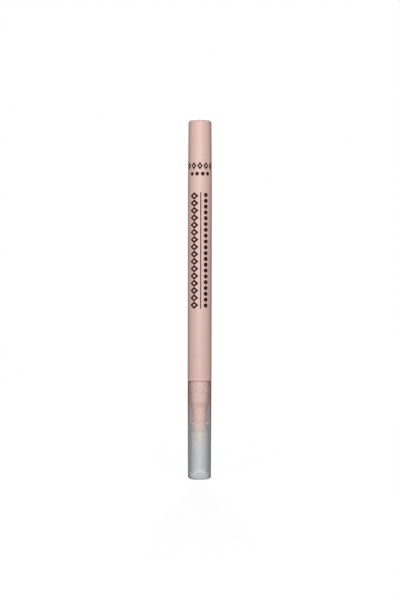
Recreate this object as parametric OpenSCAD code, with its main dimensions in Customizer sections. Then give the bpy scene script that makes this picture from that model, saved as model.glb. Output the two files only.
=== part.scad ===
// Felt-tip nail care pen, standing on its closed cap.
// The pen's axis is +Z, and the origin is the middle of the cap's flat closed end.

/* [Pen] */
// Overall length, from the cap's closed end to the tail
pen_l = 140; // [130:1:170]
// Outside diameter of the straight grip
grip_d = 9.36; // [8.8:0.02:11]

/* [Barrel] */
// Wall of the straight grip
barrel_wall = 1; // [0.8:0.05:1.2]
// Length of the tapered stretch that ends at the plug
taper_l = 20; // [8:1:30]
// Drop of the radius over the tapered stretch
taper_drop = 0.18; // [0:0.01:0.3]
// Number of ribs that hold the reservoir clear of the wall
barrel_ribs = 6; // [3:1:6]
// Height of those ribs
barrel_rib_h = 0.25; // [0.15:0.01:0.4]
// Width of those ribs
barrel_rib_w = 0.6; // [0.4:0.05:1]
// Distance of those ribs from the spigots at both ends
barrel_rib_gap = 1; // [0.5:0.1:3]
// Fine bevel on the barrel's ends, which draws the seams
seam_edge = 0.04; // [0.02:0.01:0.15]
// Lead-in bevel at both ends of the barrel's bore
bore_edge = 0.3; // [0.1:0.05:0.5]

/* [End plug] */
// Length of the plug's head
plug_head_l = 3.9; // [2.8:0.1:6]
// Drop of the radius over the plug's head
plug_drop = 0.02; // [0:0.01:0.1]
// Rounding of the edge round the tail
tail_edge_r = 1.1; // [0.4:0.1:1.5]
// Length of the spigot in the barrel
plug_spigot_l = 8; // [5:0.5:12]
// Length of the slotted foot that holds the reservoir
plug_foot_l = 2; // [1:0.5:5]
// Step from the spigot down to the foot
plug_foot_step = 0.45; // [0.2:0.05:0.6]
// Wall of the foot
plug_wall = 0.9; // [0.6:0.05:1.2]
// Thickness of the plug's end wall
plug_end_t = 1.8; // [1:0.1:2.5]
// Number of air slots in the foot
foot_slots = 4; // [2:1:6]
// Width of those slots
foot_slot_w = 1.2; // [0.8:0.1:2]

/* [Front section] */
// Length in front of the flange, down to the nose
section_l = 19.5; // [17:0.1:22]
// Thickness of the flange between barrel and cap
flange_t = 0.7; // [0.5:0.1:1.5]
// Rounding of the flange's front edge
flange_edge_r = 0.1; // [0.05:0.05:0.4]
// Length of the spigot in the barrel
spigot_l = 11; // [7:0.5:15]
// Distance of the snap bead from the flange
bead_pos = 4.2; // [2:0.1:6]
// Height of the snap bead above the land behind it
bead_h = 0.1; // [0.05:0.01:0.2]
// Radius of the bead's rounded top
bead_top_r = 0.35; // [0.25:0.05:0.5]
// Step from the land down to the slimmer front of the section
land_step = 0.12; // [0.05:0.01:0.2]
// Distance from the flange to where the section narrows
front_l = 8.3; // [7.5:0.1:11]
// Length of the cone down to the neck
cone_l = 2.5; // [0.5:0.1:3]
// Length of the nose that enters the inner cap
nose_l = 3.3; // [3.1:0.1:4.5]
// Step from the neck down to the nose
nose_step = 0.15; // [0.05:0.01:0.25]
// Bevel round the end of the nose
nose_edge = 0.35; // [0.1:0.05:0.5]
// Wall of the section round its chamber
section_wall = 0.75; // [0.6:0.05:0.9]
// Number of air channels along the nib
air_channels = 4; // [2:1:6]
// Depth of those channels
air_channel_h = 0.35; // [0.2:0.05:0.5]
// Width of those channels
air_channel_w = 0.6; // [0.3:0.05:0.8]

/* [Press fit] */
// Number of crush ribs round each spigot
crush_ribs = 8; // [4:1:12]
// Radius of a crush rib, which stands half out of its spigot
crush_rib_r = 0.12; // [0.08:0.01:0.15]
// Gap that the crush ribs leave to the bore
crush_gap = 0.02; // [0.01:0.005:0.03]

/* [Nib] */
// Diameter of the felt rod
nib_d = 3; // [2.4:0.05:3.2]
// Length that stands out of the nose
nib_out = 6.3; // [4:0.1:8]
// Length of the back end that is buried in the reservoir
nib_in = 6; // [3:0.5:12]
// Slant of the tip from square, in degrees
nib_slant = 42; // [20:1:55]
// Bevel that blunts the tip
nib_edge = 0.4; // [0.2:0.05:0.6]
// Length of the cone at the back end
nib_cone_l = 2; // [1:0.5:3]
// Diameter of the blunt point of that cone
nib_point_d = 1; // [0.4:0.1:1.6]
// Gap round the nib in its bores
nib_gap = 0.04; // [0.02:0.01:0.08]

/* [Reservoir] */
// Thickness of the film wrapped round the wadding
film_t = 0.12; // [0.1:0.01:0.2]
// Angle that the film's seam overlaps
film_seam_angle = 24; // [10:1:30]
// Gap round the film, and between film and wadding
film_gap = 0.02; // [0.01:0.005:0.05]
// Gap at each end of the reservoir
reservoir_gap = 0.2; // [0.1:0.05:0.5]

/* [Cap] */
// Length of the cap, from closed end to mouth
cap_l = 38.4; // [36:0.1:44]
// Wall of the cap
cap_wall = 0.92; // [0.8:0.01:1.1]
// Step on the radius from the barrel's outside down to the cap's mouth
cap_step = 0.02; // [0.02:0.005:0.1]
// Drop of the cap's radius from mouth to closed end
cap_draft = 0.17; // [0.1:0.01:0.3]
// Thickness of the closed end
cap_end_t = 2.3; // [1.2:0.1:3.5]
// Rounding of the edge round the closed end
cap_edge_r = 1.1; // [0.4:0.1:1.5]
// Bevel in the corner of the cap's floor
cap_floor_edge = 0.4; // [0.2:0.05:0.6]
// Bevel on the outside of the cap's mouth
cap_mouth_edge = 0.08; // [0.05:0.01:0.25]
// Width of the lead-in bevel in the mouth
cap_lead_w = 0.2; // [0.1:0.01:0.3]
// Length of the lead-in bevel in the mouth
cap_lead_l = 0.6; // [0.3:0.1:1]
// Gap of the seam between mouth and flange when the cap is on
cap_seam = 0.1; // [0.05:0.01:0.2]
// Radial gap between the snap bead and the cap's bore
cap_gap = 0.05; // [0.03:0.01:0.08]
// Depth of the snap groove that the bead clicks into
groove_h = 0.08; // [0.04:0.01:0.12]
// Length of the snap groove
groove_l = 1; // [0.8:0.05:1.4]
// How far the straight bore runs past the wide part of the section
bore_run = 1.5; // [0.5:0.1:3]
// Number of ribs that grip the inner cap
cap_ribs = 6; // [3:1:8]
// Height of those ribs at the closed end
cap_rib_h = 0.23; // [0.2:0.01:0.4]
// Width of those ribs
cap_rib_w = 0.6; // [0.4:0.05:1]
// Distance of those ribs below the inner cap's mouth
cap_rib_gap = 3; // [1:0.1:6]
// Gap that those ribs leave to the inner cap
cap_rib_fit = 0.02; // [0.01:0.005:0.03]

/* [Inner cap] */
// Wall of the inner cap where it seals on the nose
inner_wall = 0.63; // [0.3:0.01:0.8]
// How far the nose reaches into the inner cap
seal_l = 2.9; // [2:0.1:3]
// Radial gap of the seal
seal_gap = 0.05; // [0.02:0.01:0.08]
// Gap between the end of the nose and the step in the inner cap
seal_end_gap = 0.4; // [0.2:0.05:0.8]
// Step from the seal down to the inner cap's deep bore
inner_step = 0.3; // [0.1:0.05:0.5]
// Thickness of the inner cap's floor
inner_floor_t = 0.8; // [0.5:0.1:1.2]
// Bevels at the inner cap's mouth
inner_edge = 0.12; // [0.05:0.01:0.14]

/* [Gate marks] */
// Diameter of the moulding gate's dimple in the cap and the plug
gate_d = 1.6; // [1:0.1:2.5]
// Depth of that dimple
gate_h = 0.15; // [0.1:0.05:0.3]

/* [Hidden] */
$fn = 96;

// Overrun of every cut past the face that it leaves
over = 0.5;
// Depth to which a rib is rooted in the wall that carries it
root = 0.2;

// Radii, worked out from the outside inwards
barrel_r = grip_d / 2;
bore_r = barrel_r - barrel_wall;
tail_r = barrel_r - taper_drop;
plug_r = tail_r - plug_drop;
spigot_r = bore_r - crush_gap - crush_rib_r;
plug_foot_r = spigot_r - plug_foot_step;
film_r = bore_r - barrel_rib_h - film_gap;
core_r = film_r - film_t - film_gap;
cap_mouth_r = barrel_r - cap_step;
cap_bore_r = cap_mouth_r - cap_wall;
cap_end_r = cap_mouth_r - cap_draft;
cap_floor_r = cap_bore_r - cap_draft;
bead_r = cap_bore_r - cap_gap;
land_r = bead_r - bead_h;
front_r = land_r - land_step;
chamber_r = front_r - section_wall;
inner_cap_r = cap_floor_r - cap_rib_h;
seal_r = inner_cap_r - inner_wall;
inner_deep_r = seal_r - inner_step;
nose_r = seal_r - seal_gap;
neck_r = nose_r + nose_step;
nib_r = nib_d / 2;
nib_hole_r = nib_r + nib_gap;

// Heights above the cap's closed end
seam_z = cap_l + cap_seam;
flange_z = seam_z + flange_t;
section_back_z = flange_z + spigot_l;
bead_z = seam_z - bead_pos;
front_z = seam_z - front_l;
neck_z = front_z - cone_l;
nose_z = seam_z - section_l;
nose_top_z = nose_z + nose_l;
tip_z = nose_z - nib_out;
inner_mouth_z = nose_z + seal_l;
inner_step_z = nose_z - seal_end_gap;
plug_z = pen_l - plug_head_l;
taper_z = plug_z - taper_l;
plug_spigot_z = plug_z - plug_spigot_l;
plug_foot_z = plug_spigot_z - plug_foot_l;
reservoir_z = section_back_z + reservoir_gap;
reservoir_top_z = plug_foot_z - reservoir_gap;
reservoir_l = reservoir_top_z - reservoir_z;
nib_back_z = reservoir_z + nib_in;

pink = "#E2BFB8";
frosted = "#C8CCD0";
natural = "#E6E2DC";
felt = "#F0E6D2";
wadding = "#F4F2EE";
clear_film = "#D8DCE0";

// Copies its children round the axis
module around(count)
{
    for (i = [0 : count - 1])
        rotate(i * 360 / count) children();
}

// Half-round crush ribs along a spigot
module crush_ribs_on(z, length)
{
    around(crush_ribs)
        translate([spigot_r, 0, z]) cylinder(r = crush_rib_r, h = length);
}

// Shallow dimple that the moulding gate leaves in an end face at height z
module gate_mark(z)
{
    translate([0, 0, z - gate_h]) cylinder(d = gate_d, h = 2 * gate_h);
}

// Tube that carries everything, straight in the grip and tapered at the tail
module barrel()
{
    color(pink)
    union() {
        rotate_extrude()
            polygon([
                [bore_r + bore_edge, flange_z],
                [barrel_r - seam_edge, flange_z],
                [barrel_r, flange_z + seam_edge],
                [barrel_r, taper_z],
                [tail_r, plug_z - seam_edge],
                [tail_r - seam_edge, plug_z],
                [bore_r + bore_edge, plug_z],
                [bore_r, plug_z - bore_edge],
                [bore_r, flange_z + bore_edge]
            ]);
        around(barrel_ribs) barrel_rib();
    }
}

// One of the long ribs in the barrel's bore
module barrel_rib()
{
    rib_z = section_back_z + barrel_rib_gap;
    rib_l = plug_spigot_z - barrel_rib_gap - rib_z;
    translate([bore_r - barrel_rib_h, -barrel_rib_w / 2, rib_z])
        cube([barrel_rib_h + root, barrel_rib_w, rib_l]);
}

// Plug pressed into the tail: rounded head, hollow ribbed spigot and slotted foot
module end_plug()
{
    edge_x = plug_r - tail_edge_r;
    edge_z = pen_l - tail_edge_r;
    color(pink)
    difference() {
        union() {
            rotate_extrude() {
                polygon([
                    [0, plug_foot_z],
                    [plug_foot_r, plug_foot_z],
                    [plug_foot_r, plug_spigot_z],
                    [spigot_r - bore_edge, plug_spigot_z],
                    [spigot_r, plug_spigot_z + bore_edge],
                    [spigot_r, plug_z],
                    [tail_r - seam_edge, plug_z],
                    [tail_r, plug_z + seam_edge],
                    [plug_r, edge_z],
                    [edge_x, pen_l],
                    [0, pen_l]
                ]);
                translate([edge_x, edge_z]) circle(r = tail_edge_r);
            }
            crush_ribs_on(plug_spigot_z + bore_edge, plug_spigot_l - bore_edge);
        }
        translate([0, 0, plug_foot_z - over])
            cylinder(r = plug_foot_r - plug_wall, h = pen_l - plug_end_t - plug_foot_z + over);
        around(foot_slots) foot_slot();
        gate_mark(pen_l);
    }
}

// One of the air slots in the plug's foot, cut from the axis outwards
module foot_slot()
{
    translate([0, -foot_slot_w / 2, plug_foot_z - over])
        cube([plug_foot_r + over, foot_slot_w, plug_foot_l + over]);
}

// Nib holder: spigot, flange, snap bead, cone, neck and nose, bored for the nib
module front_section()
{
    color(pink)
    difference() {
        union() {
            rotate_extrude() {
                polygon([
                    [0, nose_z],
                    [nose_r - nose_edge, nose_z],
                    [nose_r, nose_z + nose_edge],
                    [nose_r, nose_top_z],
                    [neck_r, nose_top_z + nose_step],
                    [neck_r, neck_z],
                    [front_r, front_z],
                    [front_r, bead_z],
                    [land_r, bead_z],
                    [land_r, seam_z],
                    [barrel_r - flange_edge_r, seam_z],
                    [barrel_r, seam_z + flange_edge_r],
                    [barrel_r, flange_z - seam_edge],
                    [barrel_r - seam_edge, flange_z],
                    [spigot_r, flange_z],
                    [spigot_r, section_back_z - bore_edge],
                    [spigot_r - bore_edge, section_back_z],
                    [0, section_back_z]
                ]);
                translate([bead_r - bead_top_r, bead_z]) circle(r = bead_top_r);
                translate([barrel_r - flange_edge_r, seam_z + flange_edge_r]) circle(r = flange_edge_r);
            }
            crush_ribs_on(flange_z, spigot_l - bore_edge);
        }
        nib_bore();
        around(air_channels) air_channel();
    }
}

// Bore that grips the nib, opening by a cone into the chamber behind it
module nib_bore()
{
    cone_h = chamber_r - nib_hole_r;
    rotate_extrude()
        polygon([
            [0, nose_z - over],
            [nib_hole_r, nose_z - over],
            [nib_hole_r, front_z],
            [chamber_r, front_z + cone_h],
            [chamber_r, section_back_z + over],
            [0, section_back_z + over]
        ]);
}

// One of the channels that let air past the nib into the chamber
module air_channel()
{
    translate([0, -air_channel_w / 2, nose_z - over])
        cube([nib_hole_r + air_channel_h, air_channel_w, front_z + over - nose_z + over]);
}

// Felt rod with a slanted, blunted tip and a pointed back end
module nib()
{
    tip_x = nib_r - nib_edge;
    cut_l = 4 * nib_r;
    color(felt)
    difference() {
        rotate_extrude()
            polygon([
                [0, tip_z],
                [tip_x, tip_z],
                [nib_r, tip_z + nib_edge],
                [nib_r, nib_back_z - nib_cone_l],
                [nib_point_d / 2, nib_back_z],
                [0, nib_back_z]
            ]);
        translate([tip_x, 0, tip_z]) rotate([0, nib_slant, 0])
            translate([-cut_l, -nib_r - over, -cut_l])
            cube([cut_l + cut_l, nib_d + 2 * over, cut_l]);
    }
}

// Fibre wadding that holds the liquid, with the hollow that the nib's back end pushes into it
module reservoir_core()
{
    color(wadding)
    difference() {
        translate([0, 0, reservoir_z]) cylinder(r = core_r, h = reservoir_l);
        rotate_extrude()
            polygon([
                [0, reservoir_z - over],
                [nib_hole_r, reservoir_z - over],
                [nib_hole_r, nib_back_z - nib_cone_l],
                [nib_point_d / 2 + nib_gap, nib_back_z + nib_gap],
                [0, nib_back_z + nib_gap]
            ]);
    }
}

// Film wrapped round the wadding, its seam overlapping between two of the barrel's ribs
module reservoir_film()
{
    seam_start = (360 / barrel_ribs - film_seam_angle) / 2;
    color(clear_film)
    union() {
        translate([0, 0, reservoir_z]) rotate_extrude()
            translate([film_r - film_t, 0]) square([film_t, reservoir_l]);
        translate([0, 0, reservoir_z]) rotate(seam_start) rotate_extrude(angle = film_seam_angle)
            translate([film_r - film_t / 2, 0]) square([film_t, reservoir_l]);
    }
}

// Frosted cap: drafted outside, straight bore with a snap groove, drafted well and thick end
module cap_shell()
{
    edge_x = cap_end_r - cap_edge_r;
    color(frosted, 0.6)
    difference() {
        union() {
            rotate_extrude() {
                polygon([
                    [0, 0],
                    [edge_x, 0],
                    [cap_end_r, cap_edge_r],
                    [cap_mouth_r, cap_l - cap_mouth_edge],
                    [cap_mouth_r - cap_mouth_edge, cap_l],
                    [cap_bore_r + cap_lead_w, cap_l],
                    [cap_bore_r, cap_l - cap_lead_l],
                    [cap_bore_r, bead_z + groove_l / 2],
                    [cap_bore_r + groove_h, bead_z + groove_l / 2 - groove_h],
                    [cap_bore_r + groove_h, bead_z - groove_l / 2 + groove_h],
                    [cap_bore_r, bead_z - groove_l / 2],
                    [cap_bore_r, front_z - bore_run],
                    [cap_floor_r, cap_end_t + cap_floor_edge],
                    [cap_floor_r - cap_floor_edge, cap_end_t],
                    [0, cap_end_t]
                ]);
                translate([edge_x, cap_edge_r]) circle(r = cap_edge_r);
            }
            around(cap_ribs) cap_rib();
        }
        gate_mark(0);
    }
}

// One of the ribs in the cap that grip the inner cap
module cap_rib()
{
    rib_x = inner_cap_r + cap_rib_fit;
    translate([rib_x, -cap_rib_w / 2, cap_end_t - root])
        cube([cap_bore_r + root - rib_x, cap_rib_w, inner_mouth_z - cap_rib_gap - cap_end_t + root]);
}

// Small cup that stands on the cap's floor and seals round the nose
module inner_cap()
{
    color(natural, 0.7)
    rotate_extrude()
        polygon([
            [0, cap_end_t],
            [inner_cap_r - cap_floor_edge, cap_end_t],
            [inner_cap_r, cap_end_t + cap_floor_edge],
            [inner_cap_r, inner_mouth_z - inner_edge],
            [inner_cap_r - inner_edge, inner_mouth_z],
            [seal_r + inner_edge, inner_mouth_z],
            [seal_r, inner_mouth_z - inner_edge],
            [seal_r, inner_step_z],
            [inner_deep_r, inner_step_z - inner_step],
            [inner_deep_r, cap_end_t + inner_floor_t],
            [0, cap_end_t + inner_floor_t]
        ]);
}

barrel();
end_plug();
front_section();
nib();
reservoir_core();
reservoir_film();
cap_shell();
inner_cap();
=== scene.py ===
"""Looks of a felt-tip nail care pen that stands on its frosted cap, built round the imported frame."""

import math

import bmesh
import bpy
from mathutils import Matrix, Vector


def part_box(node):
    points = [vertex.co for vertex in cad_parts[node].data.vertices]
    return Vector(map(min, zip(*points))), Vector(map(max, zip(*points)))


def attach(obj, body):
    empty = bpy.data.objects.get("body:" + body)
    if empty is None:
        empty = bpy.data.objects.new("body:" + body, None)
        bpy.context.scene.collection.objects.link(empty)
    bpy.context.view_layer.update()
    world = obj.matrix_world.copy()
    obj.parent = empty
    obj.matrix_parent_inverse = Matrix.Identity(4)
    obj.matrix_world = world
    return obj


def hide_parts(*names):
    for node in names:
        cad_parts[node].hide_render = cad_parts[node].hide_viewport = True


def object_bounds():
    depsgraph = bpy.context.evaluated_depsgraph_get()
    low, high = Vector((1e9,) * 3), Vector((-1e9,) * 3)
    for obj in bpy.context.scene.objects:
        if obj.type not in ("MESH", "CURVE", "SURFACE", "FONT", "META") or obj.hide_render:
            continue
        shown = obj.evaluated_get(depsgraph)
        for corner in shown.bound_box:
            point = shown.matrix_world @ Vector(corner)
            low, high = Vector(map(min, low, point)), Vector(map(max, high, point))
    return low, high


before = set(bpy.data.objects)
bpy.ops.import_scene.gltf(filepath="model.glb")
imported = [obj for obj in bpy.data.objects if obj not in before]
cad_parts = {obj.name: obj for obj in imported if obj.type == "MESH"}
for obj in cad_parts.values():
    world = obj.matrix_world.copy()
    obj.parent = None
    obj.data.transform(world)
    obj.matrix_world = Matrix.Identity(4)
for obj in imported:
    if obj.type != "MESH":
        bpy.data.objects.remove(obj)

CAD_LOW, CAD_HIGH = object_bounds()

MM = 0.001

# How finely the pieces are modelled. Points closer than the weld, in millimetres, become one
SIDES = 128
ROD_SIDES = 16
ARC_STEPS = 10
WELD = 0.001
SMOOTH_ANGLE = math.radians(12)

# Sizes of the pieces in millimetres, where the frame's boxes don't give them
# Barrel and tail plug
BARREL_WALL = 1.0
TAPER_LENGTH = 20.0
TAIL_RADIUS = 4.5
SEAM_EDGE = 0.04
BORE_EDGE = 0.3
TAIL_ROUNDING = 1.1
PLUG_DROP = 0.02
PLUG_FOOT_LENGTH = 2.0
PLUG_FOOT_STEP = 0.45
PLUG_FOOT_WALL = 0.9
PLUG_END_WALL = 1.8
SPIGOT_RADIUS = 3.54
GATE_RADIUS = 0.8
GATE_DEPTH = 0.15
BLOCK_EDGE = 0.06
RIB_ROOT = 0.3
BARREL_RIBS = 6
BARREL_RIB_HEIGHT = 0.25
BARREL_RIB_WIDTH = 0.6
BARREL_RIB_GAP = 1.0
FOOT_SLOTS = 4
FOOT_SLOT_START = 0.5
FOOT_SLOT_WIDTH = 1.2
CRUSH_RIBS = 8
CRUSH_RIB_RADIUS = 0.12

# Front section
FLANGE_THICKNESS = 0.7
FLANGE_ROUNDING = 0.1
BEAD_POSITION = 4.2
BEAD_RADIUS = 3.69
BEAD_TOP = 0.35
BEAD_SPREAD = 0.8
BEAD_ARC = 40
LAND_RADIUS = 3.59
FRONT_RADIUS = 3.47
FRONT_LENGTH = 8.3
CONE_LENGTH = 2.5
NECK_RADIUS = 2.81
NOSE_RADIUS = 2.66
NOSE_LENGTH = 3.3
NOSE_EDGE = 0.35
SECTION_LENGTH = 19.5
NIB_BORE = 1.54
CHAMBER_RADIUS = 2.72
AIR_CHANNEL_WIDTH = 0.6
AIR_CHANNEL_DEPTH = 0.35
AIR_CHANNELS = 4

# Nib
NIB_SLANT = math.radians(42)
NIB_EDGE = 0.4
NIB_CONE = 2.0
NIB_POINT = 0.5

# Cap
CAP_END_RADIUS = 4.49
CAP_ROUNDING = 1.1
CAP_END_WALL = 2.3
CAP_BORE = 3.74
CAP_WELL = 3.57
CAP_WELL_EDGE = 0.4
CAP_MOUTH_EDGE = 0.08
CAP_LEAD_WIDTH = 0.2
CAP_LEAD_LENGTH = 0.6
GROOVE_DEPTH = 0.08
GROOVE_LENGTH = 1.0
BORE_RUN = 1.5
CAP_RIBS = 6
CAP_RIB_WIDTH = 0.6
CAP_RIB_FIT = 0.02
CAP_RIB_GAP = 3.0

# Inner cap
SEAL_BORE = 2.71
SEAL_DEPTH = 3.3
SEAL_STEP = 0.3
SEAL_EDGE = 0.12
SEAL_FLOOR = 0.8

# The photograph's frame: 400 by 600 pixels, with the pen 360 pixels tall
IMAGE_HEIGHT_PX = 600
PEN_HEIGHT_PX = 360
PEN_CENTRE_PX = (199.7, 299.8)
IMAGE_CENTRE_PX = (200, 300)
CAMERA_DISTANCE = 0.8
SENSOR = 36.0
# The pen leans a hair to the right in the photograph, so the camera rolls the other way
CAMERA_ROLL = math.radians(-0.1)

# The studio, in metres, with its lamps in watts
WHITE = "#FFFFFF"
WORLD_LEVEL = 0.08
FRONT_POWER = 66.0
FRONT_PLACE = (-0.1, -2.2, 0.24)
FRONT_SIZE = (1.4, 1.8)
BACK_POWER = 40.0
BACK_PLACE = (0, 2.4, 0.7)
BACK_SIZE = (0.4, 1.4)
TOP_POWER = 0.5
TOP_PLACE = (0, 0, 1.3)
TOP_SIZE = (0.2, 0.2)
LAMP_AIM = (0, 0, 0.07)
FLOOR_SIZE = 2.0
FLOOR_COLOUR = "#A0A0A0"
FLOOR_LIFT = 0.84
FLAG_COLOUR = "#202020"
FLAG_WIDTH = 0.6
FLAG_HEIGHT = 0.5
FLAG_GAP = 0.04
FLAG_BEHIND = 0.2

# The plastics, with the sizes of their clouds and grain in millimetres
POLYPROPYLENE_IOR = 1.49
POLYETHYLENE_IOR = 1.51
PLASTIC_SHINE = 0.5
PINK_TINTS = ("#E2BFB6", "#DEB9B0")
# The nib holder's pink is a lighter copy: partly the separate moulding's own shade, mostly painted light
# that makes up for the light the frosted cap takes off it and brightens the flange's edge line
PAINTED_LIGHTER_PINK_TINTS = ("#EBC6BB", "#E7C0B5")
PINK_CLOUD = 9.0
PINK_GRAIN = 0.35
PINK_GRAIN_DEPTH = 0.02
PINK_ROUGHNESS = (0.44, 0.56)
INK_COLOUR = "#2C1008"
INK_ROUGHNESS = 0.6
INK_SHINE = 0.15

# The frosted cap. A cover is the share of what lies behind that the haze hides, and at the turned-away wall
# the share that the painted shade hides
FACE_COVER = 0.1
LOW_COVER = 0.35
END_COVER = 0.55
EDGE_COVER = 0.95
# How far a wall turns away from the view, from 0 to 1, where the painted shade at its edge begins and where
# it is full
EDGE_START = 0.4
EDGE_END = 0.6
END_EDGE_START = 0.22
END_EDGE_END = 0.5
LEAVE_START = 0.05
LEAVE_END = 0.25
BORE_START = 0.6
BORE_END = 0.95
# Heights in millimetres from which and to which the haze and the painted pink light change, and the colours
# of the haze and of the painted shade
END_FADE = 0.2
ROUND_FADE = 0.3
MILKY_TOP = 24
MILKY_LOW = 16
# Heights between which the painted shade takes on painted pink light from the section
PAINTED_PINK_LIGHT_TOP = 32
PAINTED_PINK_LIGHT_LOW = 20
FACE_COLOUR = "#C8CACC"
# Painted shade at the cap's turned-away wall: dark grey on the outer rims, lighter grey where the wall is
# seen from inside
RIM_SHADE_GREY = "#8E9094"
INNER_SHADE_GREY = "#BCBEC2"
# The thick end's painted shade is a lighter grey, painted light that brightens its rounding
END_LIGHTER_SHADE_GREY = "#E6E8EE"
# Painted shade with painted pink light from the section in it: dark on the outer rims, lighter where the
# wall is seen from inside
RIM_SHADE_PINK = "#8C605C"
INNER_SHADE_PINK = "#CE9694"
HAZE_COLOUR = "#C8CCD0"
HAZE_DENSITY = 40.0
FROST_ROUGHNESS = 0.5
FROST_SHINE = 0.2

# The inner cap, with its sizes and heights in millimetres
CUP_COVER = 0.55
CUP_MOUTH_COVER = 0.3
CUP_LAMP_COVER = 0.1
CUP_CLEAR_ABOVE = 0.4
CUP_CLEAR_BELOW = 0.6
CUP_OIL_LOW = 10
CUP_CLOUD = 2.0
CUP_ROUGHNESS = (0.35, 0.45)
CUP_COLOUR = "#DEE2E6"
CUP_MOUTH_COLOUR = "#EFE0D5"

# The fibres and the film, in millimetres. The share draws their pattern out along the pen
FELT_TINTS = ("#E2D3B8", "#FBF4E6")
FELT_FIBRE = 0.18
FELT_SHARE = 0.12
FELT_DEPTH = 0.06
WADDING_TINTS = ("#DAD8D2", "#FAF9F6")
WADDING_FIBRE = 0.25
WADDING_SHARE = 0.04
FILM_COLOUR = "#EEF2F4"
FILM_WRINKLE = 1.5
FILM_SHARE = 0.1
FILM_DEPTH = 0.05

# The print, in millimetres round the barrel from its front and along the pen
PRINT_MIDDLE = 89.145
PRINT_LENGTH = 45.28
RULE_PLACE = 0.35
RULE_WIDTH = 0.39
LOZENGE_PLACE = -2.28
LOZENGE_WIDTH = 3.4
LOZENGE_PITCH = 2.83
DOT_PLACE = 2.45
DOT_PITCH = 2.26
DOT_RADIUS = 0.85
BAND_HEIGHT = 122.1
BAND_LENGTH = 2.9
BAND_WIDTH = 2.1
BAND_PITCH = 2.5
BAND_COUNT = 5
TOP_DOT_HEIGHT = 119.0
TOP_DOT_PITCH = 2.2
TOP_DOT_RADIUS = 0.75
TOP_DOT_COUNT = 4
# A lozenge's outline: its middle line and half its stroke, as shares of half the lozenge
LOZENGE_MIDLINE = 0.72
LOZENGE_STROKE = 0.34


def clear_selection():
    """Deselects everything, because an operator acts on all that is selected."""
    if bpy.context.object and bpy.context.object.mode != "OBJECT":
        bpy.ops.object.mode_set(mode="OBJECT")
    bpy.ops.object.select_all(action="DESELECT")


def arc(centre_r, centre_z, radius, start, end):
    """Rings along a round edge, from one angle to another in degrees, 0 pointing outwards and 90 up."""
    rings = []
    for step in range(ARC_STEPS + 1):
        angle = math.radians(start + (end - start) * step / ARC_STEPS)
        rings.append((centre_r + radius * math.cos(angle), centre_z + radius * math.sin(angle)))
    return rings


def turned(name, rings, closed=False):
    """Turns a piece from rings of (radius, height) in millimetres, extruding and scaling a circle."""
    clear_selection()
    radius, height = rings[0]
    bpy.ops.mesh.primitive_circle_add(vertices=SIDES, radius=radius * MM, location=(0, 0, height * MM))
    piece = bpy.context.object
    piece.name = name
    piece.data.name = name
    bpy.ops.object.mode_set(mode="EDIT")
    bpy.ops.mesh.select_mode(type="VERT")
    bpy.ops.mesh.select_all(action="SELECT")
    if not closed:
        bpy.ops.mesh.edge_face_add()
    for next_radius, next_height in rings[1:]:
        bpy.ops.mesh.extrude_region_move(
            TRANSFORM_OT_translate={"value": (0, 0, (next_height - height) * MM)})
        scale = next_radius / radius
        bpy.ops.transform.resize(value=(scale, scale, 1), center_override=(0, 0, next_height * MM))
        radius, height = next_radius, next_height
    bpy.ops.mesh.select_all(action="SELECT")
    bpy.ops.mesh.remove_doubles(threshold=WELD * MM)
    bpy.ops.mesh.normals_make_consistent(inside=False)
    bpy.ops.object.mode_set(mode="OBJECT")
    bpy.ops.object.transform_apply(location=True, rotation=True, scale=True)
    return piece


def smooth(piece):
    """Shades the piece smooth and keeps its real edges crisp."""
    clear_selection()
    piece.select_set(True)
    bpy.context.view_layer.objects.active = piece
    bpy.ops.object.shade_smooth_by_angle(angle=SMOOTH_ANGLE)


def apply_modifier(piece, kind, **settings):
    """Adds a modifier with its settings and applies it."""
    clear_selection()
    piece.select_set(True)
    bpy.context.view_layer.objects.active = piece
    modifier = piece.modifiers.new(kind.title(), kind)
    for key, value in settings.items():
        setattr(modifier, key, value)
    bpy.ops.object.modifier_apply(modifier=modifier.name)


def block(low, high):
    """A block between two corners in millimetres, its edges softened a little."""
    clear_selection()
    size = [(b - a) * MM for a, b in zip(low, high)]
    middle = [(a + b) / 2 * MM for a, b in zip(low, high)]
    bpy.ops.mesh.primitive_cube_add(size=1, location=middle, scale=size)
    bpy.ops.object.transform_apply(location=True, rotation=True, scale=True)
    bpy.ops.object.mode_set(mode="EDIT")
    bpy.ops.mesh.select_all(action="SELECT")
    bpy.ops.mesh.bevel(offset=BLOCK_EDGE * MM, segments=2)
    bpy.ops.object.mode_set(mode="OBJECT")
    return bpy.context.object


def rod(place, radius, low, high):
    """A thin upright rod at a distance from the axis, drawn in at its ends, all in millimetres."""
    clear_selection()
    bpy.ops.mesh.primitive_cylinder_add(
        vertices=ROD_SIDES, radius=radius * MM, depth=(high - low) * MM,
        location=(place * MM, 0, (low + high) / 2 * MM))
    bpy.ops.object.transform_apply(location=True, rotation=True, scale=True)
    bpy.ops.object.mode_set(mode="EDIT")
    bpy.ops.mesh.select_mode(type="FACE")
    bpy.ops.mesh.select_all(action="DESELECT")
    mesh = bmesh.from_edit_mesh(bpy.context.object.data)
    for face in mesh.faces:
        is_end = abs(face.normal.z) > 0.5
        face.select = is_end
    bmesh.update_edit_mesh(bpy.context.object.data)
    taper = radius / 3 * MM
    bpy.ops.mesh.inset(thickness=taper, depth=taper)
    bpy.ops.object.mode_set(mode="OBJECT")
    return bpy.context.object


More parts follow.
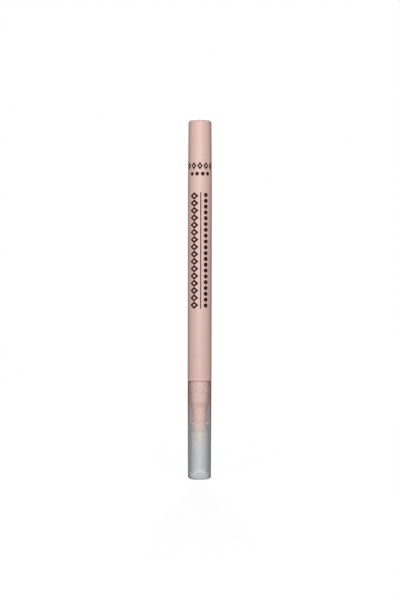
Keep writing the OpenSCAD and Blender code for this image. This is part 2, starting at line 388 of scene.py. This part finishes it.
def work_round(piece, tool, count, operation):
    """Copies a rib or cutter evenly round the axis, and adds the ring to the piece or cuts it out."""
    ring = [tool]
    for place in range(1, count):
        clear_selection()
        tool.select_set(True)
        bpy.context.view_layer.objects.active = tool
        bpy.ops.object.duplicate(linked=False)
        bpy.context.object.rotation_euler.z = 2 * math.pi * place / count
        bpy.ops.object.transform_apply(location=True, rotation=True, scale=True)
        ring.append(bpy.context.object)
    clear_selection()
    for part in ring:
        part.select_set(True)
    bpy.context.view_layer.objects.active = tool
    bpy.ops.object.join()
    apply_modifier(piece, "BOOLEAN", operation=operation, object=tool, solver="EXACT")
    clear_selection()
    tool.select_set(True)
    bpy.ops.object.delete()


def span(node):
    """Lowest and highest point of a CAD node along the pen, in millimetres."""
    low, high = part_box(node)
    return low.z / MM, high.z / MM


def radius_of(node):
    """Largest radius of a CAD node, in millimetres."""
    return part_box(node)[1].x / MM


def barrel():
    """The tube: straight grip, tapered tail, and a bore with a lead-in at each end."""
    low, high = span("barrel")
    outside = radius_of("barrel")
    bore = outside - BARREL_WALL
    rings = [
        (bore + BORE_EDGE, low),
        (outside - SEAM_EDGE, low),
        (outside, low + SEAM_EDGE),
        (outside, high - TAPER_LENGTH),
        (TAIL_RADIUS, high - SEAM_EDGE),
        (TAIL_RADIUS - SEAM_EDGE, high),
        (bore + BORE_EDGE, high),
        (bore, high - BORE_EDGE),
        (bore, low + BORE_EDGE),
        (bore + BORE_EDGE, low),
    ]
    tube = turned("barrel_tube", rings, closed=True)
    rib_low = span("front_section")[1] + BARREL_RIB_GAP
    rib_high = span("end_plug")[0] + PLUG_FOOT_LENGTH - BARREL_RIB_GAP
    rib = block(
        (bore - BARREL_RIB_HEIGHT, -BARREL_RIB_WIDTH / 2, rib_low),
        (bore + RIB_ROOT, BARREL_RIB_WIDTH / 2, rib_high))
    work_round(tube, rib, BARREL_RIBS, "UNION")
    return tube


def tail_plug():
    """The plug pressed into the tail, with its rounded head, spigot, foot and gate dimple."""
    low, high = span("end_plug")
    seam = span("barrel")[1]
    end_radius = TAIL_RADIUS - PLUG_DROP
    foot = SPIGOT_RADIUS - PLUG_FOOT_STEP
    foot_top = low + PLUG_FOOT_LENGTH
    rings = [
        (foot - PLUG_FOOT_WALL, high - PLUG_END_WALL),
        (foot - PLUG_FOOT_WALL, low),
        (foot, low),
        (foot, foot_top),
        (SPIGOT_RADIUS - BORE_EDGE, foot_top),
        (SPIGOT_RADIUS, foot_top + BORE_EDGE),
        (SPIGOT_RADIUS, seam),
        (TAIL_RADIUS - SEAM_EDGE, seam),
        (TAIL_RADIUS, seam + SEAM_EDGE),
    ]
    rings += arc(end_radius - TAIL_ROUNDING, high - TAIL_ROUNDING, TAIL_ROUNDING, 0, 90)
    rings += [(GATE_RADIUS, high), (GATE_RADIUS, high - GATE_DEPTH)]
    plug = turned("tail_plug", rings)
    slot = block(
        (FOOT_SLOT_START, -FOOT_SLOT_WIDTH / 2, low - RIB_ROOT),
        (SPIGOT_RADIUS, FOOT_SLOT_WIDTH / 2, foot_top - RIB_ROOT / 2))
    work_round(plug, slot, FOOT_SLOTS, "DIFFERENCE")
    rib = rod(SPIGOT_RADIUS, CRUSH_RIB_RADIUS, foot_top + BORE_EDGE, seam - BORE_EDGE / 2)
    work_round(plug, rib, CRUSH_RIBS, "UNION")
    return plug


def nib_holder():
    """The section that holds the nib: spigot, flange, snap bead, cone, neck and bored nose."""
    low, high = span("front_section")
    flange = low + SECTION_LENGTH
    front = flange - FRONT_LENGTH
    bead = flange - BEAD_POSITION
    outside = radius_of("front_section")
    nose_top = low + NOSE_LENGTH
    bead_half = BEAD_TOP * BEAD_SPREAD
    rings = [
        (CHAMBER_RADIUS, high),
        (CHAMBER_RADIUS, front + CHAMBER_RADIUS - NIB_BORE),
        (NIB_BORE, front),
        (NIB_BORE, low),
        (NOSE_RADIUS - NOSE_EDGE, low),
        (NOSE_RADIUS, low + NOSE_EDGE),
        (NOSE_RADIUS, nose_top),
        (NECK_RADIUS, nose_top + NECK_RADIUS - NOSE_RADIUS),
        (NECK_RADIUS, front - CONE_LENGTH),
        (FRONT_RADIUS, front),
        (FRONT_RADIUS, bead - bead_half),
    ]
    rings += arc(BEAD_RADIUS - BEAD_TOP, bead, BEAD_TOP, -BEAD_ARC, BEAD_ARC)
    rings += [
        (LAND_RADIUS, bead + bead_half),
        (LAND_RADIUS, flange),
    ]
    rings += arc(outside - FLANGE_ROUNDING, flange + FLANGE_ROUNDING, FLANGE_ROUNDING, -90, 0)
    rings += [
        (outside, flange + FLANGE_THICKNESS - SEAM_EDGE),
        (outside - SEAM_EDGE, flange + FLANGE_THICKNESS),
        (SPIGOT_RADIUS, flange + FLANGE_THICKNESS),
        (SPIGOT_RADIUS, high - BORE_EDGE),
        (SPIGOT_RADIUS - BORE_EDGE, high),
        (CHAMBER_RADIUS, high),
    ]
    holder = turned("nib_holder", rings, closed=True)
    channel = block(
        (NIB_BORE / 2, -AIR_CHANNEL_WIDTH / 2, low - RIB_ROOT),
        (NIB_BORE + AIR_CHANNEL_DEPTH, AIR_CHANNEL_WIDTH / 2, front + RIB_ROOT / 2))
    work_round(holder, channel, AIR_CHANNELS, "DIFFERENCE")
    rib = rod(SPIGOT_RADIUS, CRUSH_RIB_RADIUS, flange + FLANGE_THICKNESS + BORE_EDGE / 2, high - BORE_EDGE)
    work_round(holder, rib, CRUSH_RIBS, "UNION")
    return holder


def felt_nib():
    """The felt rod, with its slanted tip cut off by a bisect, and a pointed back end."""
    low, high = span("nib")
    radius = radius_of("nib")
    tip = radius - NIB_EDGE
    rings = [
        (tip, low),
        (radius, low + NIB_EDGE),
        (radius, high - NIB_CONE),
        (NIB_POINT, high),
    ]
    piece = turned("felt_nib", rings)
    bpy.ops.object.mode_set(mode="EDIT")
    bpy.ops.mesh.select_all(action="SELECT")
    bpy.ops.mesh.bisect(
        plane_co=(tip * MM, 0, low * MM),
        plane_no=(math.sin(NIB_SLANT), 0, math.cos(NIB_SLANT)),
        use_fill=True, clear_inner=True, clear_outer=False)
    bpy.ops.object.mode_set(mode="OBJECT")
    return piece


def cap():
    """The frosted cap: rounded thick end, drafted wall, lead-in mouth, snap groove and drafted well."""
    low, high = span("cap_shell")
    outside = radius_of("cap_shell")
    flange = span("front_section")[0] + SECTION_LENGTH
    bead = flange - BEAD_POSITION
    half = GROOVE_LENGTH / 2
    rings = [(GATE_RADIUS, low + GATE_DEPTH), (GATE_RADIUS, low)]
    rings += arc(CAP_END_RADIUS - CAP_ROUNDING, low + CAP_ROUNDING, CAP_ROUNDING, -90, 0)
    rings += [
        (outside, high - CAP_MOUTH_EDGE),
        (outside - CAP_MOUTH_EDGE, high),
        (CAP_BORE + CAP_LEAD_WIDTH, high),
        (CAP_BORE, high - CAP_LEAD_LENGTH),
        (CAP_BORE, bead + half),
        (CAP_BORE + GROOVE_DEPTH, bead + half - GROOVE_DEPTH),
        (CAP_BORE + GROOVE_DEPTH, bead - half + GROOVE_DEPTH),
        (CAP_BORE, bead - half),
        (CAP_BORE, flange - FRONT_LENGTH - BORE_RUN),
        (CAP_WELL, low + CAP_END_WALL + CAP_WELL_EDGE),
        (CAP_WELL - CAP_WELL_EDGE, low + CAP_END_WALL),
    ]
    shell = turned("frosted_cap", rings)
    rib_place = radius_of("inner_cap") + CAP_RIB_FIT
    rib = block(
        (rib_place, -CAP_RIB_WIDTH / 2, low + CAP_END_WALL - RIB_ROOT),
        (CAP_BORE + RIB_ROOT, CAP_RIB_WIDTH / 2, span("inner_cap")[1] - CAP_RIB_GAP))
    work_round(shell, rib, CAP_RIBS, "UNION")
    return shell


def seal_cup():
    """The small cup in the cap that seals round the nose."""
    low, high = span("inner_cap")
    outside = radius_of("inner_cap")
    deep = SEAL_BORE - SEAL_STEP
    rings = [
        (outside - CAP_WELL_EDGE, low),
        (outside, low + CAP_WELL_EDGE),
        (outside, high - SEAL_EDGE),
        (outside - SEAL_EDGE, high),
        (SEAL_BORE + SEAL_EDGE, high),
        (SEAL_BORE, high - SEAL_EDGE),
        (SEAL_BORE, high - SEAL_DEPTH),
        (deep, high - SEAL_DEPTH - SEAL_STEP),
        (deep, low + SEAL_FLOOR),
    ]
    return turned("seal_cup", rings)


def colour(hex_code):
    """An sRGB hex colour as linear RGBA."""
    values = [int(hex_code[i:i + 2], 16) / 255 for i in (1, 3, 5)]
    linear = [v / 12.92 if v <= 0.04045 else ((v + 0.055) / 1.055) ** 2.4 for v in values]
    return (*linear, 1.0)


def per(size_mm):
    """Texture scale on Object coordinates for a feature of that size in millimetres."""
    return 1 / (size_mm * MM)


def add_node(tree, kind, inputs=None, **settings):
    """Adds a node, sets its properties, and fills its inputs with values or links."""
    made = tree.nodes.new(kind)
    for key, value in settings.items():
        setattr(made, key, value)
    for key, value in (inputs or {}).items():
        if isinstance(value, bpy.types.NodeSocket):
            tree.links.new(value, made.inputs[key])
        else:
            made.inputs[key].default_value = value
    return made


def maths(tree, operation, first, second=0.0):
    """The result of one step of arithmetic between values or links."""
    return add_node(tree, "ShaderNodeMath", {0: first, 1: second}, operation=operation).outputs["Value"]


def ramp(tree, value, start, end, low=0.0, high=1.0):
    """Goes from low to high as a value goes from start to end, and stays level past both."""
    return add_node(tree, "ShaderNodeMapRange", {
        "Value": value, "From Min": start, "From Max": end,
        "To Min": low, "To Max": high}).outputs["Result"]


def mixed(tree, factor, first, second, kind="FLOAT"):
    """The first value or colour where the factor is 0, the second where it is 1."""
    return add_node(tree, "ShaderNodeMix", {
        "Factor": factor, "A": first, "B": second}, data_type=kind).outputs["Result"]


def tinted(tree, factor, first, second):
    """The first hex colour where the factor is 0, the second where it is 1."""
    return mixed(tree, factor, colour(first), colour(second), "RGBA")


def noise(tree, place, size_mm, detail=2.0, roughness=0.5):
    """Uneven values from 0 to 1, with features of that size in millimetres."""
    return add_node(tree, "ShaderNodeTexNoise", {
        "Vector": place, "Scale": per(size_mm), "Detail": detail, "Roughness": roughness}).outputs["Fac"]


def drawn_out(tree, place, share):
    """The same place with its length along the pen counted at a share, so that features grow longer."""
    return add_node(tree, "ShaderNodeMapping", {"Vector": place, "Scale": (1, 1, share)}).outputs["Vector"]


def bumped(tree, height, strength, depth_mm):
    """The surface's direction with a relief of that depth in millimetres on it."""
    return add_node(tree, "ShaderNodeBump", {
        "Height": height, "Strength": strength, "Distance": depth_mm * MM}).outputs["Normal"]


def own_place(tree):
    """The point on the piece, in metres from the frame's origin."""
    return add_node(tree, "ShaderNodeTexCoord").outputs["Object"]


def new_material(name):
    """An empty node material and its tree."""
    material = bpy.data.materials.new(name)
    material.use_nodes = True
    material.node_tree.nodes.clear()
    return material, material.node_tree


def satin_pink_polypropylene(name, tints, printed=False):
    """Moulded polypropylene from a fine spark-eroded mould: even dusty pink with a soft satin sheen.

    Where it is printed, a thin dark ink lies on it, with less shine than the plastic."""
    material, tree = new_material(name)
    place = own_place(tree)
    tint = tinted(tree, noise(tree, place, PINK_CLOUD, detail=3.0), *tints)
    grain = noise(tree, place, PINK_GRAIN, detail=4.0)
    gloss = ramp(tree, grain, 0.0, 1.0, *PINK_ROUGHNESS)
    shine = PLASTIC_SHINE
    if printed:
        ink = print_marks(tree, place)
        tint = mixed(tree, ink, tint, colour(INK_COLOUR), "RGBA")
        gloss = mixed(tree, ink, gloss, INK_ROUGHNESS)
        shine = ramp(tree, ink, 0.0, 1.0, PLASTIC_SHINE, INK_SHINE)
    shader = add_node(tree, "ShaderNodeBsdfPrincipled", {
        "Base Color": tint, "Roughness": gloss, "IOR": POLYPROPYLENE_IOR, "Specular IOR Level": shine,
        "Normal": bumped(tree, grain, 0.25, PINK_GRAIN_DEPTH)})
    add_node(tree, "ShaderNodeOutputMaterial", {"Surface": shader.outputs["BSDF"]})
    return material


def print_marks(tree, place):
    """1 where the barrel is printed with plain ornament, laid out by the arc round it and the height.

    A fine rule runs between a chain of lozenges and a row of dots. Higher up, a band of lozenges stands
    over dots."""
    parts = add_node(tree, "ShaderNodeSeparateXYZ", {"Vector": place}).outputs
    angle = maths(tree, "ARCTAN2", parts["X"], maths(tree, "MULTIPLY", parts["Y"], -1.0))
    across = maths(tree, "MULTIPLY", angle, radius_of("barrel"))
    height = maths(tree, "MULTIPLY", parts["Z"], 1 / MM)

    def away(value, centre):
        """Distance from a centre."""
        return maths(tree, "ABSOLUTE", maths(tree, "SUBTRACT", value, centre))

    def nearest(value, pitch):
        """Distance from the nearest of a row of centres at an even pitch."""
        return maths(tree, "PINGPONG", value, pitch / 2)

    def within(value, centre, length):
        """1 along a length round a centre."""
        return maths(tree, "LESS_THAN", away(value, centre), length / 2)

    def dots(first, second, radius):
        """1 in a dot, from the distances to its centre across and along."""
        squares = maths(tree, "ADD", maths(tree, "POWER", first, 2.0), maths(tree, "POWER", second, 2.0))
        return maths(tree, "LESS_THAN", squares, radius ** 2)

    def lozenges(first, second, width, length):
        """1 on a lozenge's outline, from the distances to its centre across and along."""
        first = maths(tree, "DIVIDE", first, width / 2)
        second = maths(tree, "DIVIDE", second, length / 2)
        outline = away(maths(tree, "ADD", first, second), LOZENGE_MIDLINE)
        return maths(tree, "LESS_THAN", outline, LOZENGE_STROKE)

    rule = within(across, RULE_PLACE, RULE_WIDTH)
    chain = lozenges(
        away(across, LOZENGE_PLACE), nearest(height, LOZENGE_PITCH), LOZENGE_WIDTH, LOZENGE_PITCH)
    row = dots(away(across, DOT_PLACE), nearest(height, DOT_PITCH), DOT_RADIUS)
    columns = maths(tree, "MAXIMUM", rule, maths(tree, "MAXIMUM", chain, row))
    columns = maths(tree, "MULTIPLY", columns, within(height, PRINT_MIDDLE, PRINT_LENGTH))
    band = lozenges(nearest(across, BAND_PITCH), away(height, BAND_HEIGHT), BAND_WIDTH, BAND_LENGTH)
    band = maths(tree, "MULTIPLY", band, within(across, 0.0, BAND_PITCH * BAND_COUNT))
    between = maths(tree, "ADD", across, TOP_DOT_PITCH / 2)
    top_dots = dots(nearest(between, TOP_DOT_PITCH), away(height, TOP_DOT_HEIGHT), TOP_DOT_RADIUS)
    top_dots = maths(tree, "MULTIPLY", top_dots, within(across, 0.0, TOP_DOT_PITCH * TOP_DOT_COUNT))
    return maths(tree, "MAXIMUM", columns, maths(tree, "MAXIMUM", band, top_dots))


def hidden_from_lamps(tree, cover, least):
    """A cover that camera and glossy rays meet, and that falls to its least for light on its way inside."""
    ray = add_node(tree, "ShaderNodeLightPath").outputs
    from_lamps = maths(tree, "MAXIMUM", ray["Is Shadow Ray"], ray["Is Diffuse Ray"])
    return mixed(tree, from_lamps, cover, least)


def edge_shade_mask(tree, height, thick, outside, back):
    """How far the cap's surface has turned away from the view, from 0 to 1, which sets where shade is
    painted on the cap.
    """
    turned_away = add_node(tree, "ShaderNodeLayerWeight", {"Blend": 0.5}).outputs["Facing"]
    start = mixed(tree, thick, EDGE_START, END_EDGE_START)
    full = mixed(tree, thick, EDGE_END, END_EDGE_END)
    above_rounding = ramp(tree, height, ROUND_FADE * MM, CAP_ROUNDING * MM)
    entering = maths(tree, "MULTIPLY", ramp(tree, turned_away, start, full), above_rounding)
    leaving = ramp(tree, turned_away, LEAVE_START, LEAVE_END)
    outer_edge = mixed(tree, back, entering, leaving)
    above_end = maths(tree, "GREATER_THAN", height, (CAP_END_WALL + END_FADE) * MM)
    bore_edge = maths(tree, "MULTIPLY", ramp(tree, turned_away, BORE_START, BORE_END), above_end)
    return mixed(tree, outside, bore_edge, outer_edge)


def frosted_polypropylene():
    """Uncoloured polypropylene with a silky haze from an eroded mould: clear enough to show what is inside.

    The haze piles up in the thick end. Where the wall turns away, shade is painted on, soonest where the
    view leaves through the back wall at a slant. This painted shade is grey low down, and at the pink
    section it carries painted pink light."""
    material, tree = new_material("frosted_polypropylene_clear")
    place = own_place(tree)
    height = add_node(tree, "ShaderNodeSeparateXYZ", {"Vector": place}).outputs["Z"]
    across = add_node(tree, "ShaderNodeVectorMath", {0: place, 1: (1, 1, 0)}, operation="MULTIPLY")
    radius = add_node(tree, "ShaderNodeVectorMath", {0: across.outputs["Vector"]}, operation="LENGTH")
    wall = maths(tree, "GREATER_THAN", radius.outputs["Value"], (CAP_BORE + CAP_LEAD_WIDTH) * MM)
    thick = ramp(tree, height, CAP_END_WALL * MM, (CAP_END_WALL - END_FADE) * MM)
    outside = maths(tree, "MAXIMUM", wall, thick)
    back = add_node(tree, "ShaderNodeNewGeometry").outputs["Backfacing"]
    edge = edge_shade_mask(tree, height, thick, outside, back)

    milky = ramp(tree, height, MILKY_TOP * MM, MILKY_LOW * MM, FACE_COVER, LOW_COVER)
    face = maths(tree, "MAXIMUM", milky, maths(tree, "MULTIPLY", thick, END_COVER))
    face = maths(tree, "MULTIPLY", face, outside)
    # At the turned-away wall the cover nearly hides what is behind, so that the painted shade shows there
    cover = hidden_from_lamps(tree, mixed(tree, edge, face, EDGE_COVER), 0.0)

    # The colour of the painted shade: rim marks the outer front walls, grey is the painted shade low down
    rim = maths(tree, "MULTIPLY", outside, maths(tree, "SUBTRACT", 1.0, back))
    # Lighter painted shade in the thick end, which brightens its rounding
    grey = tinted(tree, thick, INNER_SHADE_GREY, END_LIGHTER_SHADE_GREY)
    grey = mixed(tree, rim, grey, colour(RIM_SHADE_GREY), "RGBA")
    # Higher up, at the section, the painted shade is pink: painted pink light from the section
    pink = tinted(tree, rim, INNER_SHADE_PINK, RIM_SHADE_PINK)
    glow = ramp(tree, height, PAINTED_PINK_LIGHT_LOW * MM, PAINTED_PINK_LIGHT_TOP * MM)
    painted_edge_shade = mixed(tree, glow, grey, pink, "RGBA")
    tint = mixed(tree, edge, colour(FACE_COLOUR), painted_edge_shade, "RGBA")

    shader = add_node(tree, "ShaderNodeBsdfPrincipled", {
        "Base Color": tint, "Roughness": FROST_ROUGHNESS, "IOR": POLYPROPYLENE_IOR,
        "Specular IOR Level": FROST_SHINE, "Alpha": cover})
    haze = add_node(tree, "ShaderNodeVolumeAbsorption", {
        "Color": colour(HAZE_COLOUR), "Density": HAZE_DENSITY})
    add_node(tree, "ShaderNodeOutputMaterial", {
        "Surface": shader.outputs["BSDF"], "Volume": haze.outputs["Volume"]})
    return material


def natural_polyethylene():
    """Unpigmented polyethylene: waxy and milky, clearer at its mouth, where it is thin and wet with oil."""
    material, tree = new_material("moulded_polyethylene_natural")
    place = own_place(tree)
    gloss = ramp(tree, noise(tree, place, CUP_CLOUD), 0.0, 1.0, *CUP_ROUGHNESS)
    height = add_node(tree, "ShaderNodeSeparateXYZ", {"Vector": place}).outputs["Z"]
    seal = span("inner_cap")[1] - SEAL_DEPTH
    mouth = (seal + CUP_CLEAR_ABOVE) * MM
    cover = ramp(tree, height, (seal - CUP_CLEAR_BELOW) * MM, mouth, CUP_COVER, CUP_MOUTH_COVER)
    oiled = ramp(tree, height, CUP_OIL_LOW * MM, mouth)
    shader = add_node(tree, "ShaderNodeBsdfPrincipled", {
        "Base Color": tinted(tree, oiled, CUP_COLOUR, CUP_MOUTH_COLOUR), "Roughness": gloss,
        "IOR": POLYETHYLENE_IOR, "Alpha": hidden_from_lamps(tree, cover, CUP_LAMP_COVER)})
    add_node(tree, "ShaderNodeOutputMaterial", {"Surface": shader.outputs["BSDF"]})
    return material


def bonded_felt():
    """Bonded polyester felt, ground to shape: matt cream with fine lengthwise fibres."""
    material, tree = new_material("bonded_polyester_felt")
    along = drawn_out(tree, own_place(tree), FELT_SHARE)
    fibre = noise(tree, along, FELT_FIBRE, detail=6.0, roughness=0.7)
    shader = add_node(tree, "ShaderNodeBsdfPrincipled", {
        "Base Color": tinted(tree, fibre, *FELT_TINTS), "Roughness": 0.9,
        "Sheen Weight": 0.3, "Sheen Roughness": 0.5,
        "Normal": bumped(tree, fibre, 0.8, FELT_DEPTH)})
    add_node(tree, "ShaderNodeOutputMaterial", {"Surface": shader.outputs["BSDF"]})
    return material


def fibre_wadding():
    """Lengthwise polyester fibre of the reservoir: white, matt and streaky."""
    material, tree = new_material("polyester_fibre_wadding")
    along = drawn_out(tree, own_place(tree), WADDING_SHARE)
    fibre = noise(tree, along, WADDING_FIBRE, detail=5.0)
    shader = add_node(tree, "ShaderNodeBsdfPrincipled", {
        "Base Color": tinted(tree, fibre, *WADDING_TINTS), "Roughness": 0.95})
    add_node(tree, "ShaderNodeOutputMaterial", {"Surface": shader.outputs["BSDF"]})
    return material


def clear_film():
    """Thin clear polypropylene film, drawn smooth, with a faint wrinkle along its wrap."""
    material, tree = new_material("drawn_polypropylene_film")
    along = drawn_out(tree, own_place(tree), FILM_SHARE)
    wrinkle = noise(tree, along, FILM_WRINKLE)
    shader = add_node(tree, "ShaderNodeBsdfPrincipled", {
        "Base Color": colour(FILM_COLOUR), "Roughness": 0.12, "IOR": POLYPROPYLENE_IOR,
        "Transmission Weight": 0.9, "Normal": bumped(tree, wrinkle, 0.3, FILM_DEPTH)})
    add_node(tree, "ShaderNodeOutputMaterial", {"Surface": shader.outputs["BSDF"]})
    return material


def dress(piece, material):
    """Gives a piece one material all over."""
    piece.data.materials.clear()
    piece.data.materials.append(material)


def camera():
    """The photograph's view: level with the pen's middle, from 0.8 m in front."""
    low, high = CAD_LOW, CAD_HIGH
    # The near rim of each end stands a little higher than the axis does, as seen from the middle
    near = (high.x - TAIL_ROUNDING * MM) / CAMERA_DISTANCE
    seen_height = (high.z - low.z) * (1 + near)
    per_px = seen_height / PEN_HEIGHT_PX
    data = bpy.data.cameras.new("photo_camera")
    data.sensor_width = SENSOR
    data.lens = SENSOR * CAMERA_DISTANCE / (per_px * IMAGE_HEIGHT_PX)
    made = bpy.data.objects.new("photo_camera", data)
    bpy.context.scene.collection.objects.link(made)
    made.location = (
        (IMAGE_CENTRE_PX[0] - PEN_CENTRE_PX[0]) * per_px,
        -CAMERA_DISTANCE,
        (low.z + high.z) / 2 - (IMAGE_CENTRE_PX[1] - PEN_CENTRE_PX[1]) * per_px,
    )
    made.rotation_euler = (math.radians(90), CAMERA_ROLL, 0)
    bpy.context.scene.camera = made


def soft_light(name, place, size, power):
    """A soft box of that width and height, turned to the pen's middle."""
    data = bpy.data.lights.new(name, "AREA")
    data.shape = "RECTANGLE"
    data.size, data.size_y = size
    data.energy = power
    made = bpy.data.objects.new(name, data)
    bpy.context.scene.collection.objects.link(made)
    made.location = place
    made.rotation_euler = (Vector(LAMP_AIM) - Vector(place)).to_track_quat("-Z", "Y").to_euler()


def seen_directly(tree):
    """1 for camera, glossy and transmission rays, and 0 for all that light a matt surface on their way."""
    ray = add_node(tree, "ShaderNodeLightPath").outputs
    seen = maths(tree, "MAXIMUM", ray["Is Camera Ray"], ray["Is Glossy Ray"])
    seen = maths(tree, "MAXIMUM", seen, ray["Is Transmission Ray"])
    before_matt = maths(tree, "LESS_THAN", ray["Diffuse Depth"], 0.5)
    return maths(tree, "MULTIPLY", seen, before_matt)


def white_world():
    """White where the camera, a reflection or clear plastic sees it, and a plain level as light."""
    world = bpy.data.worlds.new("studio")
    bpy.context.scene.world = world
    world.use_nodes = True
    tree = world.node_tree
    tree.nodes.clear()
    strength = ramp(tree, seen_directly(tree), 0.0, 1.0, WORLD_LEVEL, 1.0)
    shader = add_node(tree, "ShaderNodeBackground", {"Color": colour(WHITE), "Strength": strength})
    add_node(tree, "ShaderNodeOutputWorld", {"Surface": shader.outputs["Background"]})


def floor():
    """The pale floor, white to the camera, which keeps the pen's soft shadow.

    The pen stands on its cap, so the floor stays under the cap when that is drawn off."""
    material, tree = new_material("studio_floor_white")
    lift = maths(tree, "MULTIPLY", seen_directly(tree), FLOOR_LIFT)
    matt = add_node(tree, "ShaderNodeBsdfDiffuse", {"Color": colour(FLOOR_COLOUR)})
    glow = add_node(tree, "ShaderNodeEmission", {"Color": colour(WHITE), "Strength": lift})
    both = add_node(tree, "ShaderNodeAddShader", {0: matt.outputs["BSDF"], 1: glow.outputs["Emission"]})
    add_node(tree, "ShaderNodeOutputMaterial", {"Surface": both.outputs["Shader"]})
    clear_selection()
    bpy.ops.mesh.primitive_plane_add(size=FLOOR_SIZE, location=(0, 0, 0))
    plane = bpy.context.object
    plane.name = "studio_floor"
    dress(plane, material)
    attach(plane, "cap")


def black_flags():
    """Two black panels behind the pen, one on each side of the view, which darken its rims."""
    material, tree = new_material("studio_flag_black")
    matt = add_node(tree, "ShaderNodeBsdfDiffuse", {"Color": colour(FLAG_COLOUR)})
    add_node(tree, "ShaderNodeOutputMaterial", {"Surface": matt.outputs["BSDF"]})
    for name, side in (("studio_flag_left", -1), ("studio_flag_right", 1)):
        clear_selection()
        centre = side * (FLAG_GAP + FLAG_WIDTH / 2)
        bpy.ops.mesh.primitive_plane_add(
            size=1, location=(centre, FLAG_BEHIND, FLAG_HEIGHT / 2), rotation=(math.radians(90), 0, 0))
        panel = bpy.context.object
        panel.scale = (FLAG_WIDTH, FLAG_HEIGHT, 1)
        panel.name = name
        panel.visible_camera = False
        panel.visible_transmission = False
        panel.visible_shadow = False
        panel.visible_diffuse = False
        dress(panel, material)


def build():
    """Makes every piece, dresses it, and seats it on its body."""
    bpy.context.scene.view_settings.view_transform = "Standard"
    camera()
    pink = satin_pink_polypropylene("moulded_polypropylene_pink", PINK_TINTS)
    printed_pink = satin_pink_polypropylene("printed_polypropylene_pink", PINK_TINTS, printed=True)
    # A lighter copy of the pink for the nib holder, partly painted light for where it sits inside the cap
    painted_lighter_pink = satin_pink_polypropylene("moulded_polypropylene_painted_lighter_pink", PAINTED_LIGHTER_PINK_TINTS)
    frosted = frosted_polypropylene()
    natural = natural_polyethylene()
    felt = bonded_felt()
    made = [
        (barrel(), "barrel", "barrel", printed_pink, "pink_polypropylene"),
        (tail_plug(), "end_plug", "barrel", pink, "pink_polypropylene"),
        (nib_holder(), "front_section", "barrel", painted_lighter_pink, "pink_polypropylene"),
        (felt_nib(), "nib", "barrel", felt, "nib_felt"),
        (cap(), "cap_shell", "cap", frosted, "frosted_polypropylene"),
        (seal_cup(), "inner_cap", "cap", natural, "natural_polyethylene"),
    ]
    for piece, node, body, material, slot in made:
        smooth(piece)
        dress(piece, material)
        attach(piece, body)
        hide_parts(node)
    dress(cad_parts["reservoir_core"], fibre_wadding())
    dress(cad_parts["reservoir_film"], clear_film())
    white_world()
    soft_light("front_soft_box", FRONT_PLACE, FRONT_SIZE, FRONT_POWER)
    soft_light("back_soft_box", BACK_PLACE, BACK_SIZE, BACK_POWER)
    soft_light("top_soft_box", TOP_PLACE, TOP_SIZE, TOP_POWER)
    floor()
    black_flags()


build()
